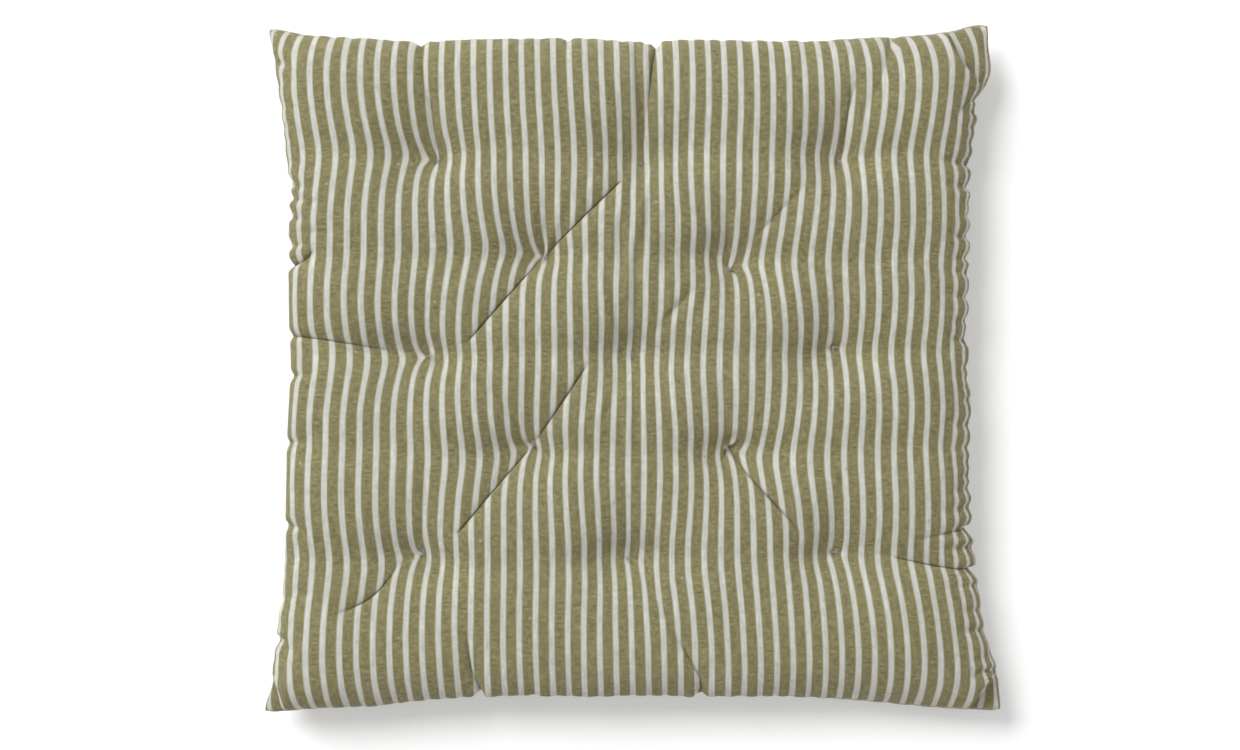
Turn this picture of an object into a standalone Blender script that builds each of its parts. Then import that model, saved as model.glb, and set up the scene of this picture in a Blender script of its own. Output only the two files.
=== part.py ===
"""Tufted chair seat pad: two cloth panels sewn round a stack of wadding and tied through at thirteen tufts.

Standalone Blender 4.5 script, in metres, +Z up. The origin is the centre of the underside, on the seat that
the pad lies on. +X is the long way across the pad, and +Y points to the chair's back.
"""

import math

import bmesh
import bpy
from mathutils import Vector

# ---- The finished pad -------------------------------------------------------------------------------------
WIDTH = 0.398  # corner tip to corner tip along X
DEPTH = 0.370  # corner tip to corner tip along Y
SIDE_WAIST = 0.0175  # how far the middle of each side edge draws in between its corners
END_WAIST = 0.010  # the same for the front and back edges
CROWN = 0.0225  # height of the fullest quilt above the seam plane
UNDERSIDE_FLAT = 0.0040  # how much of the lower crowns the pad's weight presses flat
RIM_HEIGHT = 0.0007  # the panel's edge above its own seam allowance

# ---- Cloth, wadding and thread ----------------------------------------------------------------------------
CLOTH = 0.0006  # thickness of the woven cover cloth
SEAM_ALLOWANCE = 0.010  # cloth turned in along the seam
SEAM_GAP = 0.0010  # between the two turned-in allowances, where the seam thread lies
WADDING_CLEARANCE = 0.0006  # between cover and wadding, along the surface normal
LAYER_CLEARANCE = 0.0003  # between the two layers of wadding
SEAM_THREAD = 0.0004  # diameter of the machine thread
SEAM_INSET = 0.002  # the seam line inside the outline
CLOSING_THREAD = 0.0005  # diameter of the thread that closes the turning gap
CLOSING_CLEARANCE = 0.0003  # between the closing stitches and the edge that they draw shut
CLOSING_START = -0.105  # along X on the back edge
CLOSING_LENGTH = 0.090

# ---- Tufts ------------------------------------------------------------------------------------------------
TUFT_PITCH_X = 0.108  # between tufts of one row; the rows between are shifted by half of it
TUFT_PITCH_Y = 0.105
TUFT_ROWS_BACK = 0.004  # the tufted field sits a little towards the back
TUFT_HALF = 0.0065  # cover to seam plane where a tuft pulls the pad together
DIMPLE_RADIUS = 0.026
TUFT_FLAT = 0.0040  # half the width of the level spot under a stitch
TUFT_THREAD = 0.0008  # diameter
TUFT_SPAN = 0.0030  # between the two legs of one tie
THREAD_CLEARANCE = 0.0003

# ---- Faceting ---------------------------------------------------------------------------------------------
SEAM_POINTS_PER_SIDE = 16
HOLE_SIDES = 6
BEND_POINTS = 3  # on each rounded corner of a tie

SEAM_PLANE = CROWN - UNDERSIDE_FLAT  # height of the seam above the underside
UP = 1
DOWN = -1


# ---- Outline and heights ----------------------------------------------------------------------------------
def side_at(y):
    """Half width of the outline at depth y: full at the corners, drawn in by SIDE_WAIST in the middle."""
    return WIDTH / 2 - SIDE_WAIST * (1 - min(1.0, abs(2 * y / DEPTH)) ** 2)


def end_at(x):
    """Half depth of the outline at width x."""
    return DEPTH / 2 - END_WAIST * (1 - min(1.0, abs(2 * x / WIDTH)) ** 2)


def tuft_centres():
    """The thirteen tufts, back row first: rows of three with rows of two set between them."""
    centres = []
    for row in range(5):
        y = TUFT_ROWS_BACK + TUFT_PITCH_Y * (1 - row / 2)
        columns = (-1.0, 0.0, 1.0) if row % 2 == 0 else (-0.5, 0.5)
        centres += [(TUFT_PITCH_X * column, y) for column in columns]
    return centres


def fullness(x, y):
    """Height of the cover above the seam, from 0 on the outline to CROWN, before the tufts pull it in."""
    s = min(1.0, abs(x) / side_at(y))
    t = min(1.0, abs(y) / end_at(x))
    return CROWN * math.sqrt((1 - s**4) * (1 - t**4))


def cover_height(x, y):
    """Height of the cover above the seam plane, with a round dimple at each tuft."""
    height = fullness(x, y)
    for tuft_x, tuft_y in tuft_centres():
        away = max(0.0, math.hypot(x - tuft_x, y - tuft_y) - TUFT_FLAT)
        pull = math.exp(-((away / DIMPLE_RADIUS) ** 2))
        height -= pull * max(0.0, height - TUFT_HALF)
    return height


def slope_factor(x, y):
    """Vertical depth of a layer divided by its thickness, where the cover slopes."""
    step = 0.001
    dx = (cover_height(x + step, y) - cover_height(x - step, y)) / (2 * step)
    dy = (cover_height(x, y + step) - cover_height(x, y - step)) / (2 * step)
    return math.sqrt(1 + min(2.0, dx * dx + dy * dy))


# ---- Helpers ----------------------------------------------------------------------------------------------
def new_collection(name):
    collection = bpy.data.collections.new(name)
    bpy.context.scene.collection.children.link(collection)
    return collection


def material(name, colour, roughness):
    made = bpy.data.materials.new(name)
    made.use_nodes = True
    shader = made.node_tree.nodes["Principled BSDF"]
    shader.inputs["Base Color"].default_value = (*colour, 1.0)
    shader.inputs["Roughness"].default_value = roughness
    shader.inputs["Metallic"].default_value = 0.0
    return made


def object_of(name, data, collection, finish=None):
    obj = bpy.data.objects.new(name, data)
    collection.objects.link(obj)
    if finish:
        data.materials.append(finish)
    return obj


def mesh_from(bm, name):
    bmesh.ops.recalc_face_normals(bm, faces=bm.faces)
    mesh = bpy.data.meshes.new(name)
    bm.to_mesh(mesh)
    bm.free()
    return mesh


def grid_lines(pitches, half_size, inner):
    """Places of the grid's lines across the pad: two round every tuft, one between, and those at the rim."""
    lines = []
    for at in pitches:
        lines += [at - TUFT_FLAT, at + TUFT_FLAT]
    lines += [(a + b) / 2 for a, b in zip(pitches, pitches[1:])]
    low_limit, high_limit = inner
    lines += [(min(pitches) + low_limit) / 2, (max(pitches) + high_limit) / 2]
    return [-half_size, low_limit, *sorted(lines), high_limit, half_size]


def plan_grid(with_rim):
    """A grid over the pad's plan, dense round the tufts, whose outer lines follow the outline.

    Without the rim it stops at the seam allowance, where the wadding stops.
    """
    columns = sorted({round(x, 6) for x, _ in tuft_centres()})
    rows = sorted({round(y, 6) for _, y in tuft_centres()})
    inner_x = WIDTH / 2 - SIDE_WAIST - SEAM_ALLOWANCE
    inner_y = DEPTH / 2 - END_WAIST - SEAM_ALLOWANCE
    x_lines = grid_lines(columns, WIDTH / 2, (-inner_x, inner_x))
    y_lines = grid_lines(rows, DEPTH / 2, (-inner_y, inner_y))
    bm = bmesh.new()
    bmesh.ops.create_grid(bm, x_segments=len(x_lines) - 1, y_segments=len(y_lines) - 1, size=0.5)
    last_x, last_y = len(x_lines) - 1, len(y_lines) - 1
    rim = []
    for vert in bm.verts:
        column = round((vert.co.x + 0.5) * last_x)
        row = round((vert.co.y + 0.5) * last_y)
        x, y = x_lines[column], y_lines[row]
        inset_x = SEAM_ALLOWANCE if column in (1, last_x - 1) else 0.0
        inset_y = SEAM_ALLOWANCE if row in (1, last_y - 1) else 0.0
        if column in (0, 1, last_x - 1, last_x):
            vert.co.x = math.copysign(side_at(y) - inset_x, x)
        else:
            vert.co.x = x
        if row in (0, 1, last_y - 1, last_y):
            vert.co.y = math.copysign(end_at(x) - inset_y, y)
        else:
            vert.co.y = y
        if column in (0, last_x) or row in (0, last_y):
            rim.append(vert)
    if not with_rim:
        bmesh.ops.delete(bm, geom=rim, context="VERTS")
    return bm


def outline_points(inset, per_side):
    """Points along the pad's outline, moved in by inset, anticlockwise from the front left corner."""
    half_x, half_y = WIDTH / 2, DEPTH / 2
    points = []
    for corner in range(4):
        for step in range(per_side):
            along = 2 * step / per_side - 1
            x, y = [(along, -1), (1, along), (-along, 1), (-1, -along)][corner]
            side = side_at(y * half_y) - inset
            end = end_at(x * half_x) - inset
            points.append((x * side, y * end))
    return points


def cylinder_between(bm, x, y, low, high, radius):
    """Adds an upright closed prism to bm."""
    made = bmesh.ops.create_cone(
        bm, cap_ends=True, segments=HOLE_SIDES, radius1=radius, radius2=radius, depth=high - low
    )
    bmesh.ops.translate(bm, verts=made["verts"], vec=(x, y, (low + high) / 2))


def stitch_hole_cutter(collection):
    """One closed prism for each leg of each tuft, through the whole pad."""
    bm = bmesh.new()
    radius = (TUFT_THREAD / 2 + THREAD_CLEARANCE) / math.cos(math.pi / HOLE_SIDES)
    for x, y in tuft_centres():
        for side in (-1, 1):
            leg_x = x + side * TUFT_SPAN / 2
            cylinder_between(bm, leg_x, y, SEAM_PLANE - 2 * CROWN, SEAM_PLANE + 2 * CROWN, radius)
    cutter = object_of("stitch_holes", mesh_from(bm, "stitch_holes"), collection)
    cutter.hide_render = True
    cutter.display_type = "WIRE"
    return cutter


def cut_stitch_holes(obj, cutter):
    holes = obj.modifiers.new("stitch holes", "BOOLEAN")
    holes.operation = "DIFFERENCE"
    holes.object = cutter


# ---- Cover panels -----------------------------------------------------------------------------------------
def level(height, facing):
    """World height of a point that lies height above the seam plane, on the upper or the lower side."""
    if facing == UP:
        return SEAM_PLANE + height
    return max(SEAM_PLANE - height, 0.0)


def allowance_frame(name, facing, collection):
    """The turned-in seam allowance of one panel: a flat frame of cloth, as a filled 2D curve."""
    curve = bpy.data.curves.new(name, "CURVE")
    curve.dimensions = "2D"
    curve.fill_mode = "BOTH"
    curve.extrude = CLOTH / 2
    for inset in (CLOTH / 2, SEAM_ALLOWANCE - 0.001):
        spline = curve.splines.new("POLY")
        points = outline_points(inset, SEAM_POINTS_PER_SIDE)
        spline.points.add(len(points) - 1)
        for point, (x, y) in zip(spline.points, points):
            point.co = (x, y, 0.0, 1.0)
        spline.use_cyclic_u = True
    helper = object_of(name, curve, collection)
    helper.location.z = SEAM_PLANE + facing * (SEAM_GAP + CLOTH) / 2
    bpy.context.view_layer.update()
    graph = bpy.context.evaluated_depsgraph_get()
    mesh = bpy.data.meshes.new_from_object(helper.evaluated_get(graph))
    bm = bmesh.new()
    bm.from_mesh(mesh)
    bmesh.ops.remove_doubles(bm, verts=bm.verts, dist=0.00005)
    bm.to_mesh(mesh)
    bm.free()
    frame = object_of(name + "_solid", mesh, collection)
    frame.matrix_world = helper.matrix_world
    frame.hide_render = True
    frame.display_type = "WIRE"
    bpy.data.objects.remove(helper)
    return frame


def cover_panel(name, facing, finish, collection, cutters, holes):
    """One face of the cover: a domed sheet of cloth, dimpled at the tufts, with its allowance turned in."""
    bm = plan_grid(with_rim=True)
    for vert in bm.verts:
        height = cover_height(vert.co.x, vert.co.y) + SEAM_GAP / 2 + RIM_HEIGHT
        vert.co.z = level(height, facing)
    if facing == DOWN:
        bmesh.ops.reverse_faces(bm, faces=bm.faces)
    mesh = bpy.data.meshes.new(name)
    bm.to_mesh(mesh)
    bm.free()
    panel = object_of(name, mesh, collection, finish)
    wall = panel.modifiers.new("cloth", "SOLIDIFY")
    wall.thickness = CLOTH
    wall.offset = -1.0
    turned_in = panel.modifiers.new("seam allowance", "BOOLEAN")
    turned_in.operation = "UNION"
    turned_in.object = allowance_frame(name + "_allowance", facing, cutters)
    cut_stitch_holes(panel, holes)
    return panel


# ---- Wadding ----------------------------------------------------------------------------------------------
def wadding_layer(name, facing, finish, collection, holes):
    """One layer of wadding: flat where the layers meet, and filling its half of the cover."""
    bm = plan_grid(with_rim=False)
    inward = CLOTH + WADDING_CLEARANCE
    flat_side = SEAM_PLANE + facing * LAYER_CLEARANCE / 2
    for vert in bm.verts:
        x, y = vert.co.x, vert.co.y
        height = cover_height(x, y) + SEAM_GAP / 2 + RIM_HEIGHT
        vert.co.z = level(height, facing) - facing * inward * slope_factor(x, y)
    border = [edge for edge in bm.edges if edge.is_boundary]
    skirt = bmesh.ops.extrude_edge_only(bm, edges=border)["geom"]
    lower_ring = [item for item in skirt if isinstance(item, bmesh.types.BMVert)]
    for vert in lower_ring:
        vert.co.z = flat_side
    open_edges = [edge for edge in bm.edges if edge.is_boundary]
    bmesh.ops.contextual_create(bm, geom=open_edges)
    layer = object_of(name, mesh_from(bm, name), collection, finish)
    cut_stitch_holes(layer, holes)
    return layer


# ---- Threads ----------------------------------------------------------------------------------------------
def thread(name, points, diameter, finish, collection, closed):
    """A thread as a round POLY curve through the points."""
    curve = bpy.data.curves.new(name, "CURVE")
    curve.dimensions = "3D"
    curve.bevel_depth = diameter / 2
    curve.bevel_resolution = 2
    curve.use_fill_caps = not closed
    spline = curve.splines.new("POLY")
    spline.points.add(len(points) - 1)
    for point, place in zip(spline.points, points):
        point.co = (*place, 1.0)
    spline.use_cyclic_u = closed
    return object_of(name, curve, collection, finish)


def seam_thread(finish, collection):
    """The machine seam all round, between the two turned-in allowances."""
    points = [(x, y, SEAM_PLANE) for x, y in outline_points(SEAM_INSET, SEAM_POINTS_PER_SIDE)]
    return thread("seam_thread", points, SEAM_THREAD, finish, collection, closed=True)


def closing_thread(finish, collection):
    """The stitches that draw the turning gap shut, along the outside of the back edge."""
    steps = 8
    outside = CLOSING_CLEARANCE + CLOSING_THREAD / 2
    points = []
    for step in range(steps + 1):
        x = CLOSING_START + CLOSING_LENGTH * step / steps
        points.append((x, end_at(x) + outside, SEAM_PLANE))
    return thread("closing_thread", points, CLOSING_THREAD, finish, collection, closed=False)


def tie_loop(half_width, half_height, bend):
    """The closed path of one tie in its own XZ plane: a tall loop with rounded corners."""
    corners = [(1, 1), (-1, 1), (-1, -1), (1, -1)]
    path = []
    for number, (side, end) in enumerate(corners):
        for step in range(BEND_POINTS):
            angle = math.pi / 2 * (number + step / (BEND_POINTS - 1))
            x = side * (half_width - bend) + bend * math.cos(angle)
            z = end * (half_height - bend) + bend * math.sin(angle)
            path.append((x, 0.0, z))
    return path


def tuft_thread(number, x, y, finish, collection):
    """One tie: two legs through the pad, a stitch across the top and one across the bottom."""
    cover_level = cover_height(x, y) + SEAM_GAP / 2 + RIM_HEIGHT
    half_height = cover_level + THREAD_CLEARANCE + TUFT_THREAD / 2
    path = tie_loop(TUFT_SPAN / 2, half_height, bend=TUFT_THREAD * 0.75)
    tie = thread(f"tuft_thread_{number:02d}", path, TUFT_THREAD, finish, collection, closed=True)
    tie.location = Vector((x, y, SEAM_PLANE))
    return tie


# ---- The pad ----------------------------------------------------------------------------------------------
def main():
    for obj in list(bpy.data.objects):
        bpy.data.objects.remove(obj)
    pad = new_collection("seat_pad")
    cutters = new_collection("cutters")

    striped = material("striped cotton", (0.28, 0.25, 0.13), 0.9)
    fibre = material("polyester wadding", (0.85, 0.85, 0.82), 0.95)
    sewing = material("sewing thread", (0.30, 0.27, 0.15), 0.7)
    tying = material("tufting thread", (0.45, 0.50, 0.54), 0.6)

    holes = stitch_hole_cutter(cutters)
    cover_panel("top_panel", UP, striped, pad, cutters, holes)
    cover_panel("bottom_panel", DOWN, striped, pad, cutters, holes)
    wadding_layer("upper_wadding", UP, fibre, pad, holes)
    wadding_layer("lower_wadding", DOWN, fibre, pad, holes)
    seam_thread(sewing, pad)
    closing_thread(sewing, pad)
    for number, (x, y) in enumerate(tuft_centres(), start=1):
        tuft_thread(number, x, y, tying, pad)


main()
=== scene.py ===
# %% [markdown]
# # A tufted seat pad in striped cotton
# This lesson dresses a plain CAD pad: a cotton cover in two panels, two layers of wadding, a sewn edge and
# thirteen tufts. The CAD solids are only stand-ins with the right size and place. Everything soft is made
# here, from the flat cloth upwards, because a cover takes its shape from how it was cut and where it is
# held.

# %% Load the frame and the tools
import math
import bmesh
import bpy
import numpy as np
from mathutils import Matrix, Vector


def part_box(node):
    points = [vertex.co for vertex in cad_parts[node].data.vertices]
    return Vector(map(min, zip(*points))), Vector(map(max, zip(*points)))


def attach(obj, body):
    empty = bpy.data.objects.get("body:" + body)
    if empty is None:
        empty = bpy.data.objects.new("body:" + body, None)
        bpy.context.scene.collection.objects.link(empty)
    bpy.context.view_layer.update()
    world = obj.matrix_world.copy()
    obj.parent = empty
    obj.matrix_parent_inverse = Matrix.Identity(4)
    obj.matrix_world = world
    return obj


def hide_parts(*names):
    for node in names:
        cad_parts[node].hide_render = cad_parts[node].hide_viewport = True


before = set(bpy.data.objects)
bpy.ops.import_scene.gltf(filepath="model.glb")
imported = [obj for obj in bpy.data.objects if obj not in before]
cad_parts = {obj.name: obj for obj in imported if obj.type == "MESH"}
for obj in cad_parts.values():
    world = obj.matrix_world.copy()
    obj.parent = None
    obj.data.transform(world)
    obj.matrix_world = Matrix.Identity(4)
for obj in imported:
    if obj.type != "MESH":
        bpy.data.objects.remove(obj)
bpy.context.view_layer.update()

MM = 0.001

# %% [markdown]
# ## What the frame says
# Sizes come from the CAD nodes. The pad's width and depth are the box of the upper panel, the height of
# its sewn edge is the middle of the seam thread, and each tie's middle says where its tuft is. Only the
# small drift of a hand at work is added here, because a real sewer never hits the mark exactly.

# %% Read the pad's size, its seam and its tufts
panel_low, panel_high = (np.array(corner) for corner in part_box("top_panel"))
PAD_WIDTH, PAD_DEPTH = (panel_high - panel_low)[:2]
SEAM_HEIGHT = float(np.mean([corner[2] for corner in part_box("seam_thread")]))
TIE_NAMES = sorted(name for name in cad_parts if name.startswith("tuft_thread"))
TIE_CENTRES = np.array([np.mean(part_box(name), axis=0)[:2] for name in TIE_NAMES])

TUFT_DRIFT = np.array([  # how far each tuft lies from its mark, in mm, back row first
    (4, 2), (5, 1), (3, 2),
    (7, 3.5), (-2, -3.5),
    (-1, 3), (0.5, 2.5), (0, 8),
    (1, 7.5), (-3.5, 6.5),
    (-5, 2), (-2, 0), (-0.5, 3),
]) * MM
TUFTS = TIE_CENTRES + TUFT_DRIFT
print(f"pad {PAD_WIDTH / MM:.0f} x {PAD_DEPTH / MM:.0f} mm, seam {SEAM_HEIGHT / MM:.1f} mm up")
print(len(TUFTS), "tufts")

# %% [markdown]
# ## Camera, floor and light
# The pad lies flat and is looked at from straight above, through a long lens that keeps its edges
# parallel. One large soft light stands at the back left, so each tuft gets a darker side and the pad a
# soft shadow at the front right. A second, much weaker one at the front right keeps that side from going
# dark. A pale world fills the rest. Blender's Standard view keeps the cloth's colours as they are.

# %% Camera
CAMERA_HEIGHT = 2.0
VIEW_WIDTH = 0.6667  # how wide the picture is where the pad lies
AIM = (-0.0065, -0.0032)
SENSOR = 36.0


def add_camera():
    data = bpy.data.cameras.new("camera")
    data.sensor_width = SENSOR
    data.lens = SENSOR * (CAMERA_HEIGHT - SEAM_HEIGHT) / VIEW_WIDTH
    data.clip_start = 0.01
    camera = bpy.data.objects.new("camera", data)
    camera.location = (*AIM, CAMERA_HEIGHT)
    bpy.context.scene.collection.objects.link(camera)
    bpy.context.scene.camera = camera
    print(f"lens {data.lens:.0f} mm at {CAMERA_HEIGHT} m")


add_camera()

# %% Floor, lamps and world
FLOOR_SIZE = 6.0
FLOOR_GAP = 0.0002
FLOOR_GLOW = 0.18  # a light table's glow, which keeps the shadow pale
LAMPS = {  # place, size in metres and power in watts
    "key_light": ((-2.4, 2.4, 3.0), 3.3, 243.0),
    "side_light": ((3.0, -2.0, 2.0), 2.4, 34.0),
}
FILL_STRENGTH = 0.41


def new_material(name):
    """A node material with its Principled shader, both returned."""
    material = bpy.data.materials.new(name)
    material.use_nodes = True
    return material, material.node_tree.nodes["Principled BSDF"]


def add_floor():
    bpy.ops.mesh.primitive_plane_add(size=FLOOR_SIZE, location=(0, 0, -FLOOR_GAP))
    floor = bpy.context.object
    floor.name = "floor"
    material, shader = new_material("pale_floor")
    shader.inputs["Base Color"].default_value = (0.86, 0.86, 0.86, 1)
    shader.inputs["Roughness"].default_value = 0.9
    shader.inputs["Specular IOR Level"].default_value = 0.1
    shader.inputs["Emission Color"].default_value = (1, 1, 1, 1)
    shader.inputs["Emission Strength"].default_value = FLOOR_GLOW
    floor.data.materials.append(material)


def add_lamp(name, place, size, power):
    """A round soft box that faces the pad."""
    data = bpy.data.lights.new(name, "AREA")
    data.shape = "DISK"
    data.size = size
    data.energy = power
    lamp = bpy.data.objects.new(name, data)
    lamp.location = place
    lamp.rotation_euler = (-Vector(place)).to_track_quat("-Z", "Y").to_euler()
    bpy.context.scene.collection.objects.link(lamp)


def set_world():
    world = bpy.data.worlds.new("studio")
    world.use_nodes = True
    world.node_tree.nodes["Background"].inputs["Color"].default_value = (1, 1, 1, 1)
    world.node_tree.nodes["Background"].inputs["Strength"].default_value = FILL_STRENGTH
    bpy.context.scene.world = world
    bpy.context.scene.view_settings.view_transform = "Standard"


add_floor()
for name, lamp_values in LAMPS.items():
    add_lamp(name, *lamp_values)
set_world()

# %% [markdown]
# ## The cloth as it is cut
# The stripes are woven in, so they are the sewer's own ruler: 47 repeats fill the panel from seam to seam,
# and a tuft can be placed by counting stripes. Those counts give the tufts' places in the flat cloth. In
# the sewn pad the tufts are closer together than in the flat cloth, and this spare cloth is what lets each
# quilt swell.

# %% The flat panel
REPEATS = 47
THREADS_PER_REPEAT = 14
REPEAT = 0.409 / REPEATS
THREAD_PITCH = REPEAT / THREADS_PER_REPEAT
FLAT_WIDTH = REPEATS * REPEAT
FLAT_DEPTH = 0.376
FLAT_ROW_PITCH = 0.0550  # between rows of tufts
FLAT_MIDDLE_ROW = 0.005
STRIPES_BEFORE_TUFT = [(10.2, 24.1, 37.2), (16.9, 30.6), (9.9, 23.9, 37.0), (16.7, 30.6), (9.7, 23.7, 36.9)]
MISSED_MARK = 0.8  # the share of a tuft's drift along the pad that is already there in the flat cloth

FLAT_TUFTS = np.array([
    ((stripes - REPEATS / 2) * REPEAT, FLAT_MIDDLE_ROW + (2 - row) * FLAT_ROW_PITCH)
    for row, counts in enumerate(STRIPES_BEFORE_TUFT)
    for stripes in counts
])
TUFT_ROWS = [slice(0, 3), slice(3, 5), slice(5, 8), slice(8, 10), slice(10, 13)]
for row in TUFT_ROWS:
    FLAT_TUFTS[row, 1] += MISSED_MARK * (TUFTS[row, 1] - TUFTS[row, 1].mean())
COARSE_CELLS = (72, 68)  # cells across and along the panel at the first, coarse step


def flat_grid(cells):
    """The flat cloth's X and Y at each crossing of a net with so many cells."""
    x = np.linspace(-FLAT_WIDTH / 2, FLAT_WIDTH / 2, cells[0] + 1)
    y = np.linspace(-FLAT_DEPTH / 2, FLAT_DEPTH / 2, cells[1] + 1)
    return np.meshgrid(x, y)


print(f"flat panel {FLAT_WIDTH / MM:.0f} x {FLAT_DEPTH / MM:.0f} mm, repeat {REPEAT / MM:.2f} mm")

# %% [markdown]
# ## The sewn outline
# Filling a bag pulls its sides in between the corners. Each side here is a straight line between two
# corner tips that bows inwards, slowly in the middle and quickly near the tips: one minus a power of the
# way from the middle does that, and each side has a power and a few bumps of its own. The corners were
# turned by hand, so each tip stands a little differently.

# %% Outline of the sewn pad
HALF = np.array((PAD_WIDTH, PAD_DEPTH)) / 2
TIP_DRIFT = {  # how far each corner tip lies from the CAD corner, in mm
    "front_left": (0.1, 0.1), "front_right": (0.5, 1.1),
    "back_left": (2.8, -1.1), "back_right": (-6.5, -0.1),
}
TIPS = {
    name: HALF * ((1 if "right" in name else -1), (1 if "back" in name else -1)) + np.array(drift) * MM
    for name, drift in TIP_DRIFT.items()
}
WAIST = {"left": 0.0225, "right": 0.0165, "back": 0.0118, "front": 0.0105}
BOW_POWER = {"left": 3.0, "right": 3.0, "back": 4.0, "front": 1.8}
SIDE_BUMPS = [  # side, way along it from -1 to 1, mm outwards, and the reach of the bump
    ("right", 0.86, 5.5, 0.07), ("right", 0.72, 2.5, 0.05),
    ("right", -0.88, 2.5, 0.06), ("right", -0.08, 2.5, 0.08),
    ("left", 0.85, 1.5, 0.06), ("left", 0.66, 2.0, 0.10), ("left", 0.40, 1.5, 0.05),
    ("back", 0.62, 3.0, 0.20), ("back", 0.95, 1.5, 0.06),
    ("front", 0.80, 1.0, 0.15), ("front", -0.70, 1.5, 0.10), ("front", -0.33, -3.0, 0.16),
]
TIP_ROUNDING = 0.007  # the share of its place by which a tip is drawn in, so that it is round
TIP_REACH = 0.004


def between(start, end, share):
    return start + (end - start) * share


def bow(side, way):
    """How far a side is drawn in at a way along it from -1 to 1, in metres."""
    drawn_in = WAIST[side] * (1 - np.abs(way) ** BOW_POWER[side])
    for bumped, middle, out, reach in SIDE_BUMPS:
        if bumped == side:
            drawn_in = drawn_in - out * MM * np.exp(-((way - middle) / reach) ** 2)
    return drawn_in


def outline_plan(x, y):
    """Where flat cloth lies in plan if only the outline holds it, by blending opposite sides."""
    across, along = x / FLAT_WIDTH * 2, y / FLAT_DEPTH * 2
    to_right, to_back = (across + 1) / 2, (along + 1) / 2
    left = between(TIPS["front_left"][0], TIPS["back_left"][0], to_back) + bow("left", along)
    right = between(TIPS["front_right"][0], TIPS["back_right"][0], to_back) - bow("right", along)
    front = between(TIPS["front_left"][1], TIPS["front_right"][1], to_right) + bow("front", across)
    back = between(TIPS["back_left"][1], TIPS["back_right"][1], to_right) - bow("back", across)
    plan = np.stack([between(left, right, to_right), between(front, back, to_back)], -1)
    to_tip = np.hypot(FLAT_WIDTH / 2 - np.abs(x), FLAT_DEPTH / 2 - np.abs(y))
    return plan * (1 - TIP_ROUNDING * np.exp(-(to_tip / TIP_REACH) ** 2))[..., None]


# %% [markdown]
# ## The start shape
# A simulation settles faster from a good guess. The plan is bent smoothly so that every tuft starts where
# its tie is: each tuft carries a wide bump of displacement, and a small linear system finds the bumps'
# sizes. The height is a low dome with a dimple at each tuft.

# %% Start shape of a panel
BUMP_REACH = 0.050
DIMPLE_REACH = 0.022
START_DOME = 0.019
TUFT_HEIGHT = 0.0078  # how far the cover stands off the seam plane at a tuft


def edge_fade(x, y):
    """1 in the middle of the panel, 0 along its seam."""
    return (1 - (x / FLAT_WIDTH * 2) ** 4) * (1 - (y / FLAT_DEPTH * 2) ** 4)


def distances(x, y, points):
    """Distance from each crossing of a net to each point, points last."""
    return np.hypot(x[..., None] - points[:, 0], y[..., None] - points[:, 1])


def tufted_plan(x, y):
    """The plan place of flat cloth, with every tuft on its tie."""
    tuft_x, tuft_y = FLAT_TUFTS.T
    missing = TUFTS - outline_plan(tuft_x, tuft_y)
    pull = np.exp(-(distances(tuft_x, tuft_y, FLAT_TUFTS) / BUMP_REACH) ** 2)
    pull = pull * edge_fade(tuft_x, tuft_y)[:, None]
    sizes = np.linalg.solve(pull, missing)
    bumps = np.exp(-(distances(x, y, FLAT_TUFTS) / BUMP_REACH) ** 2) @ sizes
    return outline_plan(x, y) + bumps * edge_fade(x, y)[..., None]


def start_shape(x, y):
    dome = START_DOME * np.sqrt(np.clip(edge_fade(x, y), 0, 1))
    dimple = np.exp(-(distances(x, y, FLAT_TUFTS) / DIMPLE_REACH) ** 2).max(-1)
    height = dome - np.maximum(dome - TUFT_HEIGHT, 0) * dimple
    return np.concatenate([tufted_plan(x, y), height[..., None]], -1)


# %% [markdown]
# ## Settling the cloth
# Blender's Cloth modifier can inflate a cover, but it lets the threads stretch, and stripes show every
# stretched millimetre. Woven cotton keeps its length. So this cell has a small cloth solver of its own. In
# each step the wadding pushes the cloth out along its normal until it reaches the wadding's loft. Then
# each thread between two neighbours in the net is set back to its cut length, a few times over. Diagonals
# are held loosely, because woven cloth shears easily. Close to the side seams and at the tufts the threads
# are cut shorter, which stands for gathers too small for the net. A little stiffness keeps the folds
# round.

# %% A small cloth solver
LOFT = 0.0215  # how high the wadding stands above the seam plane
LOFT_SOFTNESS = 0.003
TUFT_SQUEEZE = 0.42  # the share of the loft that a tuft presses away
TUFT_SQUEEZE_REACH = 0.020
ROW_VALLEY_DEPTH = 0.0055
ROW_VALLEY_REACH = 0.009
ROW_VALLEY_LENGTH = 0.028  # how far from a tuft its row's valley fades
ROW_VALLEY_SHARE = 0.5  # how much of the valley is left between tufts
PUSH = 0.0002
FINER_PUSH = 0.5  # a finer net settles with a softer push, so that its threads don't stretch
SHEAR_HOLD = 0.08
STIFFNESS = 0.14
KEPT_SPEED = 0.9
THREAD_PASSES = 4
EDGE_GATHER = 0.12  # the share by which the side seams gather the cloth that meets them
RIGHT_GATHER = 0.38
GATHER_POWER = 10  # how closely the gathers keep to the seam
TUFT_GATHER = 0.17  # the same at a tuft, in pleats too small for the net
TUFT_GATHER_REACH = 0.022
OUTER_GATHER = 1.2  # how much less the tufts near the sides gather
EDGE_SLOPE = 0.012  # how far from the seam the wadding reaches its loft
RIGHT_SLOPE = 0.022  # the same at the right, where the pad was squeezed flatter
STITCH_REACH = 0.0016


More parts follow.
